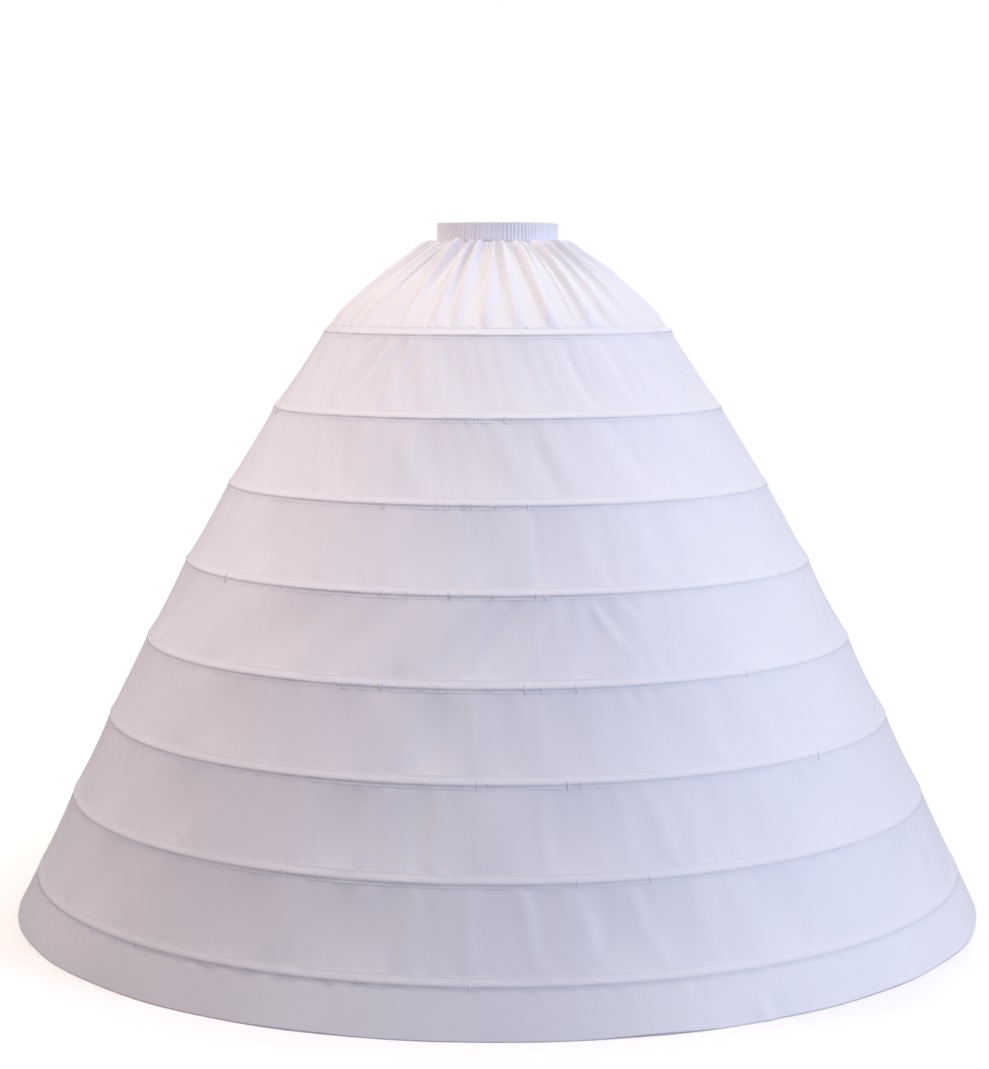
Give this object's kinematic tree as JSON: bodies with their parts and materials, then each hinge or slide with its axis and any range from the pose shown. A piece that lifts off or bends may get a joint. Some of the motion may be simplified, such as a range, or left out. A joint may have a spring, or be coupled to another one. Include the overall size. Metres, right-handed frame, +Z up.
{
  "type": "hooped petticoat",
  "caption": "Floor-length white hooped underskirt: elastic waistband, gathered yoke and rings of cloth held out in a bell by sprung hoops in sewn tape casings.",
  "frame": {"origin": "on the floor under the middle of the hem, where the skirt's upright axis meets the ground", "axes": "+Z up along the wearer's body, -Y the wearer's front, +X the wearer's left"},
  "size_m": [1.5558, 1.5558, 1.105],
  "materials": {
    "cloth": "plain-woven white polyester, soft sheen",
    "casing_tape": "white bias tape, slightly brighter than the cloth",
    "elastic": "white woven elastic",
    "coated_steel": "white plastic coat over flat spring steel",
    "joiner_sleeve": "milky plastic sleeve"
  },
  "bodies": {
    "root": {"waistband": "cloth", "waist_elastic": "elastic", "gathered_yoke": "cloth", "cloth_band_1": "cloth", "cloth_band_2": "cloth", "cloth_band_3": "cloth", "cloth_band_4": "cloth", "cloth_band_5": "cloth", "cloth_band_6": "cloth", "cloth_band_7": "cloth", "hem_band": "cloth", "hoop_casing_1": "casing_tape", "hoop_casing_2": "casing_tape", "hoop_casing_3": "casing_tape", "hoop_casing_4": "casing_tape", "hoop_casing_5": "casing_tape", "hoop_casing_6": "casing_tape", "hoop_casing_7": "casing_tape", "hoop_casing_8": "casing_tape", "hoop_1": "coated_steel", "hoop_2": "coated_steel", "hoop_3": "coated_steel", "hoop_4": "coated_steel", "hoop_5": "coated_steel", "hoop_6": "coated_steel", "hoop_7": "coated_steel", "hoop_8": "coated_steel", "hoop_joiner_1": "joiner_sleeve", "hoop_joiner_2": "joiner_sleeve", "hoop_joiner_3": "joiner_sleeve", "hoop_joiner_4": "joiner_sleeve", "hoop_joiner_5": "joiner_sleeve", "hoop_joiner_6": "joiner_sleeve", "hoop_joiner_7": "joiner_sleeve", "hoop_joiner_8": "joiner_sleeve"}
  },
  "joints": []
}
